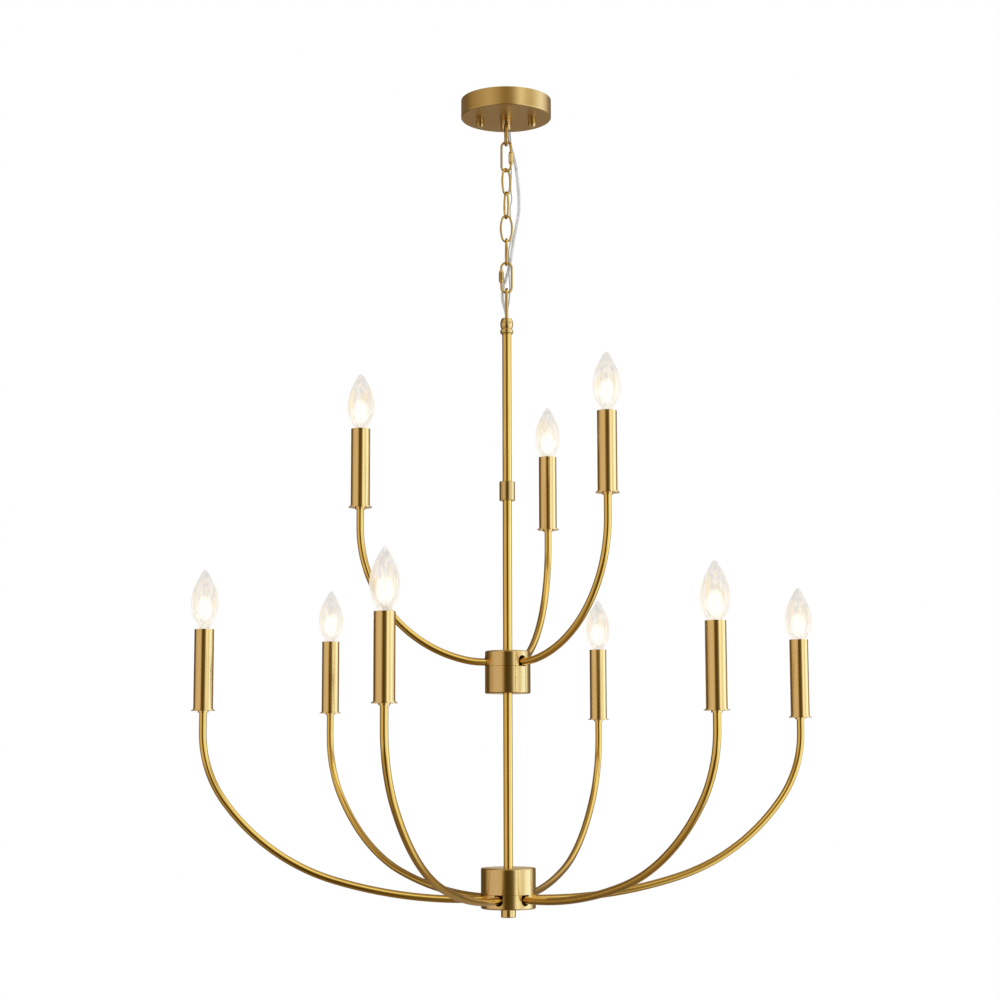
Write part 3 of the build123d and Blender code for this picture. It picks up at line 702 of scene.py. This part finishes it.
# and 15 degrees and more below it, down to the floor
LOW = [
    (-180, (130, 100, 62)), (-165, (116, 88, 54)), (-150, (108, 82, 48)), (-120, (94, 68, 34)), (-80, (150, 116, 62)), (-45, (176, 140, 80)),
    (-28, (120, 88, 42)), (-10, (62, 42, 8)), (6, (62, 42, 8)), (24, (120, 92, 46)), (42, (214, 182, 116)), (80, (250, 224, 150)),
    (105, (226, 196, 130)), (122, (150, 118, 66)), (150, (142, 112, 66)), (165, (146, 116, 70)), (180, (130, 100, 62)),
]
world = bpy.data.worlds.new("studio")
scene.world = world
world.use_nodes = True
wt = world.node_tree
wt.nodes.clear()


def wn(kind, **kw):
    n = wt.nodes.new(kind)
    for k, v in kw.items():
        setattr(n, k, v)
    return n


def wmath(op, a, b=None, c=None):
    m = wn("ShaderNodeMath", operation=op)
    for i, v in enumerate((a, b, c)):
        if v is None:
            continue
        if isinstance(v, (int, float)):
            m.inputs[i].default_value = v
        else:
            wt.links.new(v, m.inputs[i])
    return m.outputs[0]


def wmix(fac, a, b):
    m = wn("ShaderNodeMix", data_type="RGBA")
    if isinstance(fac, (int, float)):
        m.inputs[0].default_value = fac
    else:
        wt.links.new(fac, m.inputs[0])
    for s, v in ((m.inputs[6], a), (m.inputs[7], b)):
        if isinstance(v, tuple):
            s.default_value = (*v, 1)
        else:
            wt.links.new(v, s)
    return m.outputs[2]


direction = wn("ShaderNodeTexCoord").outputs["Generated"]
sep = wn("ShaderNodeSeparateXYZ")
wt.links.new(direction, sep.inputs[0])
dx, dy, dz = sep.outputs
azimuth = wmath("ARCTAN2", dx, wmath("MULTIPLY", dy, -1.0))
turn = wmath("MULTIPLY_ADD", azimuth, 1 / (2 * math.pi), 0.5)


def light_of(c):
    return tuple(min(v, 3.0) / b for v, b in zip(srgb(c), BRASS))


def studio_ring(stops):
    ring = wn("ShaderNodeValToRGB")
    el = ring.color_ramp.elements
    while len(el) > 1:
        el.remove(el[0])
    for j, (deg, c) in enumerate(stops):
        p = (deg + 180) / 360
        k = el[0] if j == 0 else el.new(p)
        k.position = p
        k.color = (*light_of(c), 1)
    wt.links.new(turn, ring.inputs[0])
    return ring.outputs["Color"]


def between(value, lo, hi):
    """0 below lo, 1 above hi, smooth between."""
    m = wn("ShaderNodeMapRange", interpolation_type="SMOOTHSTEP")
    wt.links.new(value, m.inputs["Value"])
    m.inputs["From Min"].default_value = lo
    m.inputs["From Max"].default_value = hi
    return m.outputs[0]


sink = wmath("MULTIPLY", dz, -1.0)
glossy = wmix(between(dz, 0.18, 0.31), studio_ring(AROUND), studio_ring(ABOVE))
glossy = wmix(between(dz, 0.38, 0.50), glossy, studio_ring(HIGH))
glossy = wmix(between(sink, 0.22, 0.34), glossy, studio_ring(LOW))
# overhead and underfoot the studio is dim and warm
glossy = wmix(between(dz, 0.72, 0.95), glossy, (0.40, 0.32, 0.20))
glossy = wmix(between(sink, 0.70, 0.96), glossy, (0.235, 0.158, 0.072))
lp = wn("ShaderNodeLightPath")
soft = wmix(wmath("MULTIPLY_ADD", dz, 0.5, 0.5), (0.62, 0.61, 0.59), (0.95, 0.95, 0.94))
lit = wmix(lp.outputs["Is Diffuse Ray"], glossy, soft)
seen = wmix(lp.outputs["Is Camera Ray"], lit, (1.0, 1.0, 1.0))
bg = wn("ShaderNodeBackground")
wt.links.new(seen, bg.inputs["Color"])
wo = wn("ShaderNodeOutputWorld")
wt.links.new(bg.outputs[0], wo.inputs["Surface"])

# one broad, weak key from the viewer's upper right, for soft shading on the plastic and the floor
key = bpy.data.lights.new("key", "AREA")
key.shape = "RECTANGLE"
key.size, key.size_y = 2.4, 2.4
key.energy = 12.0
key.color = (1.0, 0.98, 0.95)
ko = bpy.data.objects.new("key", key)
ko.location = (2.6, -2.4, 0.9)
ko.rotation_euler = (Vector((0, 0, -0.7)) - Vector(ko.location)).to_track_quat("-Z", "Y").to_euler()
ko.visible_glossy = False
coll.objects.link(ko)
